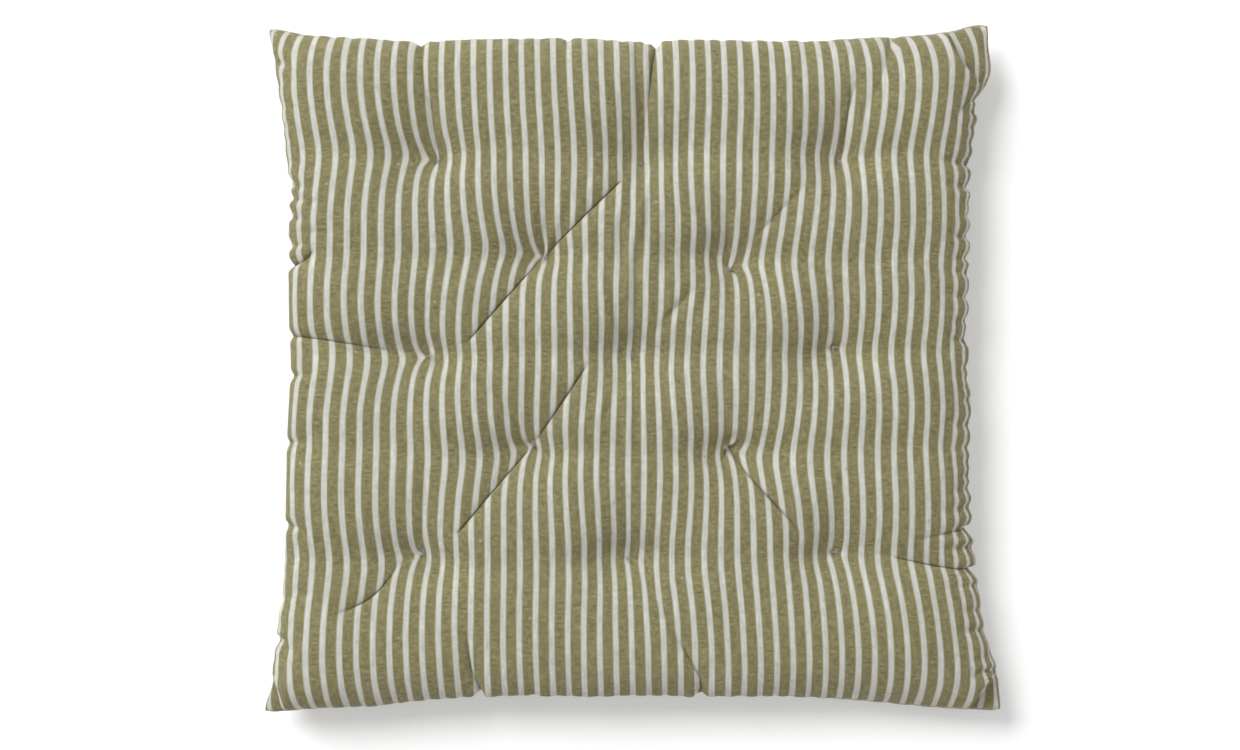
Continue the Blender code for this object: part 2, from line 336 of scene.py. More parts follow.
def neighbour_pairs(shape):
    """Slices that pair each crossing with a neighbour, so that no crossing is in one set twice."""
    rows, columns = shape
    everything = slice(None)

    def alternate(count, first):
        pairs = len(range(first, count - 1, 2))
        return slice(first, first + 2 * pairs, 2), slice(first + 1, first + 1 + 2 * pairs, 2)

    sets = []
    for first in (0, 1):
        one, other = alternate(columns, first)
        sets.append(((everything, one), (everything, other), 1.0))
        one, other = alternate(rows, first)
        sets.append(((one, everything), (other, everything), 1.0))
    left, right = slice(0, columns - 1), slice(1, columns)
    for first in (0, 1):
        one, other = alternate(rows, first)
        sets.append(((one, left), (other, right), SHEAR_HOLD))
        sets.append(((one, right), (other, left), SHEAR_HOLD))
    return sets


def wadding_loft(plan, x, y, scale):
    """How high the wadding stands: pressed down at the tufts and along their rows, and thin at the seam."""
    rim_gap = np.minimum(FLAT_WIDTH / 2 - np.abs(x), FLAT_DEPTH / 2 - np.abs(y))
    to_right = np.clip(x / FLAT_WIDTH * 2, 0, 1) ** 2
    at_seam = np.exp(-rim_gap / between(EDGE_SLOPE, RIGHT_SLOPE, to_right))
    at_tuft = np.exp(-(distances(plan[..., 0], plan[..., 1], TUFTS) / TUFT_SQUEEZE_REACH) ** 2).max(-1)
    rows = np.array([TUFTS[row, 1].mean() for row in TUFT_ROWS])
    at_row = np.exp(-((plan[..., 1, None] - rows) / ROW_VALLEY_REACH) ** 2).max(-1)
    near_tuft = np.exp(-(distances(plan[..., 0], plan[..., 1], TUFTS) / ROW_VALLEY_LENGTH) ** 2).max(-1)
    at_row = at_row * between(ROW_VALLEY_SHARE, 1, near_tuft)
    return (LOFT * scale * (1 - TUFT_SQUEEZE * at_tuft) - ROW_VALLEY_DEPTH * at_row) * (1 - at_seam)


class Cloth:
    """A panel as a net of points that keep their distance in the flat cloth."""

    def __init__(self, x, y, places, loft, push):
        self.places = places.astype(np.float32)
        self.last = self.places.copy()
        self.loft = loft
        self.push = push
        self.free = np.ones(x.shape, np.float32)
        self.free[[0, -1]] = 0
        self.free[:, [0, -1]] = 0
        self.hold_tufts(x, y)
        self.cut_threads(np.stack([x, y], -1))

    def hold_tufts(self, x, y):
        for (flat_x, flat_y), tuft in zip(FLAT_TUFTS, TUFTS):
            away = np.hypot(x - flat_x, y - flat_y)
            held = away <= max(STITCH_REACH, away.min())
            self.free[held] = 0
            offset = np.stack([x[held] - flat_x, y[held] - flat_y], -1)
            self.places[held, :2] = tuft + offset
            self.places[held, 2] = TUFT_HEIGHT

    def cut_threads(self, flat):
        self.threads = []
        inner_share = 1 - OUTER_GATHER * (FLAT_TUFTS[:, 0] / FLAT_WIDTH * 2) ** 2
        for one, other, hold in neighbour_pairs(self.free.shape):
            across, along = np.moveaxis(flat[one] - flat[other], -1, 0)
            way = flat[one][..., 0] / FLAT_WIDTH * 2
            filled = 1 - (flat[one][..., 1] / FLAT_DEPTH * 2) ** 8
            gather = 1 - np.where(way > 0, RIGHT_GATHER, EDGE_GATHER) * filled * way ** GATHER_POWER
            to_tufts = distances(flat[one][..., 0], flat[one][..., 1], FLAT_TUFTS)
            gather -= TUFT_GATHER * (np.exp(-(to_tufts / TUFT_GATHER_REACH) ** 2) * inner_share).max(-1)
            length = np.hypot(across * gather, along).astype(np.float32)
            both = np.maximum(self.free[one] + self.free[other], 1e-9)
            share = [(self.free[end] / both * hold)[..., None].astype(np.float32) for end in (one, other)]
            self.threads.append((one, other, length, *share))

    def set_threads(self, passes):
        """Sets each thread back to its cut length, turn and turn about so that no side is favoured."""
        for turn in range(passes):
            for one, other, length, move_one, move_other in self.threads[:: 1 if turn % 2 == 0 else -1]:
                gap = self.places[other] - self.places[one]
                now = np.sqrt(np.einsum("...i,...i", gap, gap)) + 1e-12
                change = gap * ((now - length) / now)[..., None]
                self.places[one] += move_one * change
                self.places[other] -= move_other * change

    def round_folds(self):
        """Moves each point a little towards the middle of its neighbours, and them away from it."""
        move = np.zeros_like(self.places)
        middle = (self.places[:-2] + self.places[2:]) / 2 - self.places[1:-1]
        middle *= STIFFNESS
        move[1:-1] += middle
        move[:-2] -= middle / 2
        move[2:] -= middle / 2
        middle = (self.places[:, :-2] + self.places[:, 2:]) / 2 - self.places[:, 1:-1]
        middle *= STIFFNESS
        move[:, 1:-1] += middle
        move[:, :-2] -= middle / 2
        move[:, 2:] -= middle / 2
        self.places += move * self.free[..., None]

    def normals(self):
        normal = np.cross(np.gradient(self.places, axis=1), np.gradient(self.places, axis=0))
        return normal / (np.linalg.norm(normal, axis=-1, keepdims=True) + 1e-12)

    def step(self):
        speed = (self.places - self.last) * KEPT_SPEED
        self.last = self.places.copy()
        room = np.clip((self.loft - self.places[..., 2]) / LOFT_SOFTNESS, -1, 1)
        push = self.normals() * (self.push * room)[..., None]
        self.places += (speed + push.astype(np.float32)) * self.free[..., None]
        self.set_threads(THREAD_PASSES)
        self.round_folds()


# %% [markdown]
# ## From coarse to fine
# Large quilts settle quickly on a coarse net and small folds need a fine one. So the panel is settled
# three times, and each time the net is halved: a cubic rule through four neighbours places each new
# crossing.

# %% Settle a panel in three nets
LEVEL_STEPS = (200, 80, 40)


def halve_rows(values):
    """Adds a row between each two, on a smooth curve through the four nearest."""
    padded = np.concatenate([2 * values[:1] - values[1:2], values, 2 * values[-1:] - values[-2:-1]])
    middle = (9 * (padded[1:-2] + padded[2:-1]) - padded[:-3] - padded[3:]) / 16
    out = np.empty((2 * len(values) - 1, *values.shape[1:]), values.dtype)
    out[::2] = values
    out[1::2] = middle
    return out


def halve_net(values):
    return halve_rows(halve_rows(values).swapaxes(0, 1)).swapaxes(0, 1)


def settle_panel(scale, level_steps):
    """The settled net of a panel: its flat X and Y, and its places."""
    places = None
    for level, steps in enumerate(level_steps):
        x, y = flat_grid([cells * 2 ** level for cells in COARSE_CELLS])
        plan = tufted_plan(x, y)
        if places is None:
            places = start_shape(x, y)
        else:
            places = halve_net(places)
        for edge in (np.s_[0], np.s_[-1], np.s_[:, 0], np.s_[:, -1]):
            places[edge][..., :2] = outline_plan(x[edge], y[edge])
        cloth = Cloth(x, y, places, wadding_loft(plan, x, y, scale), PUSH * FINER_PUSH ** level)
        for _ in range(steps):
            cloth.step()
        places = cloth.places
        print(f"  net {x.shape}: highest {places[..., 2].max() / MM:.1f} mm")
    return x, y, places.astype(float)


top_x, top_y, top_net = settle_panel(1.0, LEVEL_STEPS[: 3])

# %% [markdown]
# ## Creases
# Cloth that was once folded keeps sharp creases, and along each one a few millimetres of cloth are hidden.
# A finer simulation could find creases, but not the ones wanted. So they are laid in after the cloth has
# settled: near the line of a crease the cloth moves towards it from both sides, and what is too much goes
# down into a narrow slit, and the cloth's colour is darkened along it as painted shade. A crease that meets
# the seam draws it in there. Each is a short list of points in the pad's plan with a strength. Small puckers
# come from the seam itself, because sewing gathers the cloth a little at every few stitches.

# %% The creases and the puckers
# how sharp a crease's slit is also sets how dark the shade painted along it is
CREASES = [  # points in mm, the strength from 0 to 1, how many mm its valley reaches, how sharp its slit is
    ([(-3, 103), (-25, 82), (-47, 60)], 1.0, 4, 1.0),
    ([(-47, 60), (-68, 37), (-90, 12)], 0.9, 4, 0.9),
    ([(-22, 5), (-38, -19), (-53, -41)], 0.8, 4, 0.8),
    ([(-53, -41), (-74, -65), (-95, -90)], 1.0, 4, 1.0),
    ([(51, -42), (64, -59), (93, -90)], 0.7, 4, 0.8),
    ([(96, 102), (79, 84), (58, 63)], 0.5, 5, 0.4),
    ([(38, 46), (22, 32), (4, 13)], 0.4, 5, 0.3),
    ([(-88, -4), (-70, -17), (-53, -41)], 0.6, 5, 0.3),
    ([(-121, -100), (-138, -121), (-160, -132)], 1.0, 6, 0.4),
    ([(-183, 18), (-154, 14), (-109, 7)], 0.75, 6, 0.6),
    ([(-160, 8), (-140, 9), (-122, 6)], 0.4, 4, 0.3),
    ([(188, -110), (164, -106), (128, -98)], 1.0, 6, 0.6),
    ([(184, 110), (160, 113)], 0.5, 4, 0.3),
    ([(36, -179), (37, -168), (30, -154), (20, -136), (-1, -101)], 0.85, 6, 0.35),
    ([(-81, -178), (-86, -163), (-88, -140)], 1.2, 5, 0.5),
    ([(-188, 165), (-180, 158)], 0.8, 4, 0.1),
    ([(-186, 102), (-176, 97), (-170, 99)], 0.9, 4, 0.1),
    ([(-184, 93), (-168, 89), (-162, 90)], 0.8, 4, 0.1),
    ([(-184, 83), (-172, 79)], 0.9, 4, 0.1),
    ([(-180, 73), (-152, 73)], 0.5, 4, 0.2),
    ([(-186, 67), (-174, 68)], 0.8, 4, 0.1),
    ([(-186, 55), (-177, 58), (-169, 64)], 1.4, 4, 0.5),
    ([(-184, -4), (-168, -2)], 0.7, 5, 0.2),
    ([(-184, -40), (-172, -38)], 0.6, 4, 0.1),
    ([(-184, -84), (-170, -88)], 0.8, 4, 0.1),
    ([(-190, -146), (-178, -154)], 0.9, 5, 0.1),
    ([(-188, -124), (-170, -119)], 0.5, 5, 0.3),
    ([(185, -6), (168, -4)], 0.5, 5, 0.2),
    ([(184, 20), (170, 22)], 0.4, 5, 0.2),
    ([(187, -88), (170, -88), (150, -92)], 0.9, 5, 0.4),
    ([(190, 149), (178, 142), (172, 130)], 0.8, 4, 0.3),
    ([(186, 141), (176, 136)], 0.6, 3, 0.3),
    ([(-34, 182), (-36, 158)], 0.4, 6, 0.1),
    ([(-114, 176), (-112, 156), (-107, 138), (-103, 98)], 0.9, 5, 0.25),
    ([(143, 184), (131, 150), (111, 112)], 0.7, 7, 0.05),
    ([(121, 160), (116, 139), (110, 100)], 0.9, 4, 0.3),
    ([(14, 182), (9, 148), (4, 94)], 1.0, 5, 0.3),
]
PLEAT_LEANS = (-4, 0, 0, 2, -2, -1, 2, 1, -3, -2, 4, -1, 3)  # how far each tuft's pleat leans, in mm
PLEAT_LENGTH = 40.0
for (tuft_x, tuft_y), lean in zip(TUFTS / MM, PLEAT_LEANS):
    CREASES.append(([(tuft_x, tuft_y), (tuft_x + lean, tuft_y + PLEAT_LENGTH)], 0.55, 6, 0.0))
FLAPS = [  # lines in mm beyond which an unfilled corner lies flat
    [(166, 188), (174, 168), (190, 149)],
    [(206, -161), (191, -168), (176, -188)],
    [(-204, -158), (-192, -166), (-184, -190)],
]
FLAP_STRENGTH = 1.0
FLAP_CUT = 0.9
FLAP_VALLEY = 3
FLAP_DROP = 0.75
FLAP_LIP = 0.0015
FLAP_PUFF = 0.0024  # how much the filled part stands up beside its flap
FLAP_PUFF_REACH = 0.008
CREASES += [(points, FLAP_STRENGTH, FLAP_VALLEY, FLAP_CUT) for points in FLAPS]
PUCKER_SEED = 11
PUCKER_GAP = (6.0, 14.0)  # the least and the most between two puckers, in mm
PUCKER_LENGTH = (11.0, 24.0)
PUCKER_STRENGTH = {"left": 0.4, "right": 0.9, "back": 0.25, "front": 0.3}
PUCKER_CUT = 0.1
PUCKER_SWAY = 0.45  # how far a closed pucker sways the stripes, as a share of an open notch
HIDDEN = 0.0014  # the cloth hidden on each side of a full crease
SHIFT_REACH = 0.010
VALLEY_DEPTH = 0.26  # as a share of the cover's height
SLIT_DEPTH = 0.2
NOTCH_DEPTH = 0.0075
NOTCH_REACH = 0.0035
NOTCH_LENGTH = 0.015
SWAY_PLACE = 0.009  # how far from the seam a pucker sways the stripes most
LINE_STEP = 0.0008
FAR_GAP = 9 * MM  # stands for "no crease nearby"
SEAM_START = 0.9  # a crease that starts this far out, as a share of the pad's half, meets the seam
OPEN_CUT = 0.3  # the slit from which a crease draws the seam in like an open notch
SLIT_REACH = 1.2  # how wide a slit is, in times the hidden cloth
FLAP_NEAR = 0.06  # points this close to a flap's line are looked at


def add_puckers(rng):
    """Short creases square to the seam, at uneven gaps along each side."""
    for side, strength in PUCKER_STRENGTH.items():
        upright = side in ("left", "right")
        half = HALF[1 if upright else 0] / MM
        far = HALF[0 if upright else 1] / MM * (1 if side in ("right", "back") else -1)
        place = -half + 22
        while place < half - 22:
            length, lean = rng.uniform(*PUCKER_LENGTH), rng.uniform(-3, 3)
            waist = bow(side, place / half) / MM
            start, end = far - math.copysign(waist - 2, far), far - math.copysign(waist + length, far)
            points = [(start, place), (end, place + lean)]
            if not upright:
                points = [point[::-1] for point in points]
            CREASES.append((points, strength * rng.uniform(0.3, 1.0), rng.uniform(3.0, 5.0), PUCKER_CUT))
            place += rng.uniform(*PUCKER_GAP)


add_puckers(np.random.default_rng(PUCKER_SEED))
print(f"{len(CREASES)} creases and puckers")

# %% Lay the creases in


def smooth_line(points):
    """Close points along a smooth curve through a crease's points, in metres."""
    points = np.array(points, float) * MM
    padded = np.concatenate([2 * points[:1] - points[1:2], points, 2 * points[-1:] - points[-2:-1]])
    line = []
    for before, start, end, after in zip(padded, padded[1:], padded[2:], padded[3:]):
        count = max(2, int(np.linalg.norm(end - start) / LINE_STEP))
        share = np.linspace(0, 1, count, endpoint=False)[:, None]
        line.append(start + share / 2 * (
            (end - before) + share * ((2 * before - 5 * start + 4 * end - after)
                                      + share * (3 * start - before - 3 * end + after))))
    return np.concatenate([*line, points[-1:]])


def beside_line(plan, line, starts_full):
    """Signed distance from a crease, the unit vector across it, and a strength that fades at its ends."""
    gap = plan[:, None] - line[None]
    nearest = (gap ** 2).sum(-1).argmin(1)
    along = np.gradient(line, axis=0)[nearest]
    along /= np.linalg.norm(along, axis=1, keepdims=True)
    across = np.stack([-along[:, 1], along[:, 0]], 1)
    gap = gap[np.arange(len(plan)), nearest]
    signed = np.where((gap * across).sum(1) < 0, -1, 1) * np.linalg.norm(gap, axis=1)
    way = nearest / (len(line) - 1)
    ends = np.sin(np.pi * (way if not starts_full else (1 + way) / 2))
    return signed, across, np.clip(ends, 0, 1) ** 0.7


def fold_in(places, rim_gap, only_at_seam=False):
    """Lays every crease into the cover's points. Returns them, the gap to the nearest crease and its hold."""
    places, held = places.copy(), np.zeros(len(places))
    nearest_gap = np.full(len(places), FAR_GAP)
    for points, strength, valley, cut in CREASES:
        line = smooth_line(points)
        at_seam = np.abs(line[0] / HALF).max() > SEAM_START
        if only_at_seam and not at_seam:
            continue
        reach = 3 * SHIFT_REACH
        near = np.all((places[:, :2] > line.min(0) - reach) & (places[:, :2] < line.max(0) + reach), axis=1)
        near = np.flatnonzero(near)
        if not len(near):
            continue
        signed, across, ends = beside_line(places[near, :2], line, at_seam)
        hold = strength * ends
        away = np.abs(signed)
        hidden = HIDDEN * hold * between(0.3, 1, cut)
        shift = np.where(away > hidden, hidden * np.exp(-(away - hidden) / SHIFT_REACH), away * 0.92)
        places[near, :2] -= across * (np.sign(signed) * shift)[:, None]
        open_share = min(cut / OPEN_CUT, 1)
        in_seam = np.exp(-rim_gap[near] / NOTCH_LENGTH)
        in_sway = PUCKER_SWAY * rim_gap[near] / SWAY_PLACE * np.exp(1 - rim_gap[near] / SWAY_PLACE)
        fold = (1 - 0.6 * (away / NOTCH_REACH) ** 2) * np.exp(-(away / NOTCH_REACH) ** 2)
        notch = NOTCH_DEPTH * hold * fold * between(in_sway, in_seam, open_share)
        centre = places[near, :2] / np.linalg.norm(places[near, :2], axis=1, keepdims=True)
        places[near, :2] -= centre * (notch * (at_seam and cut < FLAP_CUT))[:, None]
        slit = cut * np.clip(1 - away / (HIDDEN * SLIT_REACH), 0, 1)
        sink = hold * (VALLEY_DEPTH * np.exp(-away / (valley * MM)) + SLIT_DEPTH * slit)
        places[near, 2] *= 1 - sink
        wins = hold * np.exp(-away / MM) > held[near] * np.exp(-np.abs(nearest_gap[near]) / MM)
        nearest_gap[near[wins]] = np.clip(signed[wins], -FAR_GAP, FAR_GAP)
        held[near[wins]] = hold[wins] * cut
    for points in FLAPS:
        line = smooth_line(points)
        towards = line.mean(0)
        near = np.flatnonzero(np.hypot(*(places[:, :2] - towards).T) < FLAP_NEAR)
        signed, across, ends = beside_line(places[near, :2], line, False)
        beyond = signed * np.sign((across * towards).sum(1))
        puff = FLAP_PUFF * ends * np.exp(np.minimum(beyond, 0) / FLAP_PUFF_REACH)
        places[near, 2] += puff * np.clip(rim_gap[near] / FLAP_PUFF_REACH, 0, 1)
        places[near, 2] *= 1 - FLAP_DROP * np.clip(beyond / FLAP_LIP, 0, 1)
    return places, nearest_gap, held


# %% [markdown]
# ## Striped cotton
# The cloth is a plain weave: every thread goes over one and under the next. The stripes are in the warp,
# the threads that run from front to back, so a pale stripe is a fine chequer of pale warp over green weft,
# and the green between is almost even. An image would do, but a woven pattern is simple arithmetic: the
# flat cloth's X and Y are kept as a UV map in metres, divided by the pitch of the threads, and rounded
# down they number each thread. The same numbers drive the colour, the bump and the roughness, and noise
# makes some threads thick and some thin.

# %% Helpers for node materials


class Nodes:
    """Adds nodes to a material and links them, so that a formula reads like one."""

    def __init__(self, name):
        self.material, self.shader = new_material(name)
        self.tree = self.material.node_tree

    def add(self, kind, inputs=(), output=0, **settings):
        node = self.tree.nodes.new(kind)
        for setting, value in settings.items():
            setattr(node, setting, value)
        for socket, value in dict(inputs).items():
            self.set(node.inputs[socket], value)
        return node.outputs[output]

    def set(self, socket, value):
        if isinstance(value, bpy.types.NodeSocket):
            self.tree.links.new(value, socket)
        elif isinstance(value, tuple) and len(socket.default_value) == 4:
            socket.default_value = (*value, 1)
        else:
            socket.default_value = value

    def math(self, operation, *values):
        return self.add("ShaderNodeMath", enumerate(values), operation=operation)

    def mix(self, factor, low, high):
        return self.add("ShaderNodeMix", {0: factor, 6: low, 7: high}, 2, data_type="RGBA")

    def tint(self, colour, factor):
        """A colour made darker or lighter by a factor."""
        return self.add("ShaderNodeVectorMath", {0: colour, 3: factor}, 0, operation="SCALE")

    def span(self, value, low, high, new_low, new_high):
        """Moves a value from one span to another and keeps it there."""
        return self.add("ShaderNodeMapRange", enumerate((value, low, high, new_low, new_high)))

    def place(self, x, y, z=0.0):
        return self.add("ShaderNodeCombineXYZ", enumerate((x, y, z)))

    def noise(self, vector, scale, detail=2.0):
        return self.add("ShaderNodeTexNoise", {"Vector": vector, "Scale": scale, "Detail": detail})

    def bump(self, height, distance, strength=1.0):
        return self.add("ShaderNodeBump", {"Height": height, "Distance": distance, "Strength": strength})

    def finish(self, colour, roughness, normal, **constants):
        for socket, value in {"Base Color": colour, "Roughness": roughness, "Normal": normal}.items():
            self.set(self.shader.inputs[socket], value)
        for socket, value in constants.items():
            self.shader.inputs[socket.replace("_", " ")].default_value = value
        return self.material


# %% The striped cotton
GREEN_WARP = (0.286, 0.258, 0.122)
GREEN_WEFT = (0.200, 0.179, 0.086)
PALE_WEFT = (0.27, 0.26, 0.20)
PALE_WARP = (0.90, 0.90, 0.84)
PALE_MIDDLE = 7.0  # the pale stripe's middle thread, and how many threads it has to each side
PALE_HALF = 2.5
PALE_CALM = 0.5  # how much less uneven the bleached threads look
# the painted highlight on the folded edge along the seam
FOLD_HIGHLIGHT_COLOUR = (0.55, 0.47, 0.34)
LINT_COLOUR = (0.75, 0.73, 0.66)
FLECK_COLOUR = (0.09, 0.08, 0.05)
RARE_COLOUR = (0.42, 0.16, 0.07)


def striped_cotton():
    cloth = Nodes("striped_cotton")
    flat = cloth.add("ShaderNodeUVMap", uv_map="cut_cloth")
    parts = cloth.add("ShaderNodeSeparateXYZ", {0: flat}).node
    wander = cloth.math("MULTIPLY", cloth.math("SUBTRACT", cloth.noise(flat, 60.0), 0.5), THREAD_PITCH * 0.8)
    across = cloth.math("ADD", cloth.math("ADD", parts.outputs[0], FLAT_WIDTH / 2), wander)
    warp = cloth.math("DIVIDE", across, THREAD_PITCH)
    weft = cloth.math("DIVIDE", cloth.math("ADD", parts.outputs[1], FLAT_DEPTH / 2), THREAD_PITCH)
    warp_number, weft_number = cloth.math("FLOOR", warp), cloth.math("FLOOR", weft)
    over = cloth.math("MODULO", cloth.math("ADD", warp_number, weft_number), 2.0)
    in_repeat = cloth.math("MODULO", warp_number, float(THREADS_PER_REPEAT))
    pale = cloth.math("COMPARE", in_repeat, PALE_MIDDLE, PALE_HALF)

    warp_slub = cloth.noise(cloth.place(warp_number, cloth.math("MULTIPLY", weft, 0.04)), 1.7)
    weft_slub = cloth.noise(cloth.place(cloth.math("MULTIPLY", warp, 0.08), weft_number, 5.0), 1.7)
    warp_shade = cloth.span(warp_slub, 0.25, 0.75, 0.84, 1.16)
    weft_shade = cloth.span(weft_slub, 0.25, 0.75, 0.70, 1.30)
    warp_colour = cloth.tint(cloth.mix(pale, GREEN_WARP, PALE_WARP), warp_shade)
    weft_colour = cloth.tint(cloth.mix(pale, GREEN_WEFT, PALE_WEFT), weft_shade)
    colour = cloth.mix(over, weft_colour, warp_colour)

    mottle = cloth.span(cloth.noise(flat, 28.0, 4.0), 0.3, 0.7, 0.955, 1.045)
    crossing = cloth.place(warp_number, weft_number)
    uneven = cloth.add("ShaderNodeTexWhiteNoise", {"Vector": crossing}, noise_dimensions="2D")
    uneven = cloth.span(uneven, 0.0, 1.0, 0.70, 1.30)
    lengthwise = cloth.place(cloth.math("MULTIPLY", parts.outputs[0], 0.25), parts.outputs[1], 2.0)
    streak = cloth.noise(lengthwise, 1050.0, 1.0)
    grain = cloth.math("MULTIPLY", uneven, cloth.span(streak, 0.28, 0.72, 0.80, 1.20))
    calm = cloth.math("MULTIPLY", pale, PALE_CALM)
    grain = cloth.add("ShaderNodeMix", {0: calm, 2: grain, 3: 1.0})
    colour = cloth.tint(cloth.tint(colour, mottle), grain)
    for fibre, scale, rarity, depth in (
        (LINT_COLOUR, 520.0, 0.865, 0.0),
        (FLECK_COLOUR, 480.0, 0.875, 3.0),
        (RARE_COLOUR, 330.0, 0.885, 7.0),
    ):
        speck = cloth.noise(cloth.place(parts.outputs[1], parts.outputs[0], depth), scale, 0.0)
        colour = cloth.mix(cloth.math("GREATER_THAN", speck, rarity), colour, fibre)

    # painted highlight: the cloth within about 2 mm of the seam is tinted lighter and beige, where its folded
    # edge catches the light
    edge = cloth.add("ShaderNodeAttribute", output=2, attribute_name="rim_gap")
    colour = cloth.mix(cloth.span(edge, 0.0008, 0.0018, 0.8, 0.0), colour, FOLD_HIGHLIGHT_COLOUR)
    # painted shade: the colour is darkened along each crease's slit, where the hidden fold lies in shade
    gap = cloth.math("ABSOLUTE", cloth.add("ShaderNodeAttribute", output=2, attribute_name="crease_gap"))
    hold = cloth.add("ShaderNodeAttribute", output=2, attribute_name="crease_hold")
    painted_shade_band = cloth.span(gap, 0.0003, 0.0012, 1.0, 0.0)
    core = cloth.math("MULTIPLY", painted_shade_band, cloth.span(hold, 0.25, 0.9, 0.0, 0.82))
    colour = cloth.tint(colour, cloth.math("SUBTRACT", 1.0, core))

    along_warp = cloth.math("SINE", cloth.math("MULTIPLY", cloth.math("FRACT", warp), math.pi))
    along_weft = cloth.math("SINE", cloth.math("MULTIPLY", cloth.math("FRACT", weft), math.pi))
    warp_crown = cloth.math("MULTIPLY", along_warp, cloth.math("SQRT", along_weft))
    weft_crown = cloth.math("MULTIPLY", along_weft, cloth.math("SQRT", along_warp))
    crown = cloth.add("ShaderNodeMix", {0: over, 2: weft_crown, 3: warp_crown})
    crown = cloth.math("MULTIPLY", crown, cloth.span(warp_slub, 0.25, 0.75, 0.8, 1.2))
    wrinkle = cloth.math("MULTIPLY", cloth.noise(flat, 110.0, 3.0), 2.2)
    stretched = cloth.place(cloth.math("MULTIPLY", parts.outputs[0], 0.22), parts.outputs[1], 1.0)
    crumple = cloth.noise(stretched, 380.0, 2.0)
    patches = cloth.span(cloth.noise(flat, 24.0), 0.42, 0.66, 0.0, 3.0)
    wrinkle = cloth.math("ADD", wrinkle, cloth.math("MULTIPLY", crumple, patches))
    normal = cloth.bump(cloth.math("ADD", crown, wrinkle), 0.00026, 0.9)
    roughness = cloth.span(crown, 0.0, 1.0, 0.92, 0.78)
    constants = {"Sheen_Weight": 0.12, "Sheen_Roughness": 0.5, "Specular_IOR_Level": 0.25}
    return cloth.finish(colour, roughness, normal, **constants)


COTTON = striped_cotton()

# %% [markdown]
# ## The cover's two panels
# Each panel of the cover is a thin closed shell. Its outer side is the settled net. Its inner side is a
# coarser net that stays under the lowest place of the outer side nearby, so that the two never cross, and
# both share the points along the seam. Where a crease runs, the outer side is cut finer before the crease
# is laid in.

# %% Panels as closed shells
CLOTH_THICKNESS = 0.0006
LINING_STEP = 4
SEAM_CELLS = 2  # cells next to the seam that the lining doesn't look at
FINE_REACH = 0.0032


def lining_heights(heights):
    """How high the inner side may stand at every fourth crossing."""
    core = heights[SEAM_CELLS:-SEAM_CELLS, SEAM_CELLS:-SEAM_CELLS]
    padded = np.pad(core, SEAM_CELLS + LINING_STEP, mode="edge")
    window = 2 * LINING_STEP + 1
    lowest = np.lib.stride_tricks.sliding_window_view(padded, (window, window)).min((2, 3))
    return lowest[::LINING_STEP, ::LINING_STEP] - CLOTH_THICKNESS


def lining_faces(shape, first):
    """Faces of the inner side. Along the seam they take up every point of the outer side."""
    step = LINING_STEP
    rows, columns = shape[0] // step, shape[1] // step
    outer = np.arange(shape[0] * shape[1]).reshape(shape)
    inner = first + np.arange((rows - 1) * (columns - 1)).reshape(rows - 1, columns - 1)

    def crossing(row, column):
        at_seam = row in (0, rows) or column in (0, columns)
        return int(outer[row * step, column * step] if at_seam else inner[row - 1, column - 1])

    def side(row, column, row_way, column_way):
        along_seam = (column_way and row in (0, rows)) or (row_way and column in (0, columns))
        if not along_seam:
            return [crossing(row, column)]
        return [int(outer[row * step + row_way * i, column * step + column_way * i]) for i in range(step)]

    return [
        side(row, column, 1, 0) + side(row + 1, column, 0, 1)
        + side(row + 1, column + 1, -1, 0) + side(row, column + 1, 0, -1)
        for row in range(rows) for column in range(columns)
    ]


def cut_finer(mesh, near):
    """Halves the edges whose two ends are both marked as near a crease."""
    cut = bmesh.new()
    cut.from_mesh(mesh)
    edges = [edge for edge in cut.edges if near[edge.verts[0].index] and near[edge.verts[1].index]]
    bmesh.ops.subdivide_edges(cut, edges=edges, cuts=1, use_grid_fill=True)
    cut.to_mesh(mesh)
    cut.free()


def read_flat(mesh):
    """The flat cloth's X and Y at each point, from the UV map."""
    corner = np.empty(len(mesh.loops), np.int32)
    mesh.loops.foreach_get("vertex_index", corner)
    uv = np.empty(len(mesh.loops) * 2, np.float32)
    mesh.uv_layers["cut_cloth"].uv.foreach_get("vector", uv)
    flat = np.zeros((len(mesh.vertices), 2))
    flat[corner] = uv.reshape(-1, 2)
    return flat


def seam_distance(flat):
    return np.minimum(FLAT_WIDTH / 2 - np.abs(flat[:, 0]), FLAT_DEPTH / 2 - np.abs(flat[:, 1]))


def add_piece(name, mesh, slot, *nodes):
    """Links a mesh as a piece that rides on the pad and stands for some CAD nodes."""
    piece = bpy.data.objects.new(name, mesh)
    bpy.context.scene.collection.objects.link(piece)
    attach(piece, "root")
    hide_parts(*nodes)
    return piece


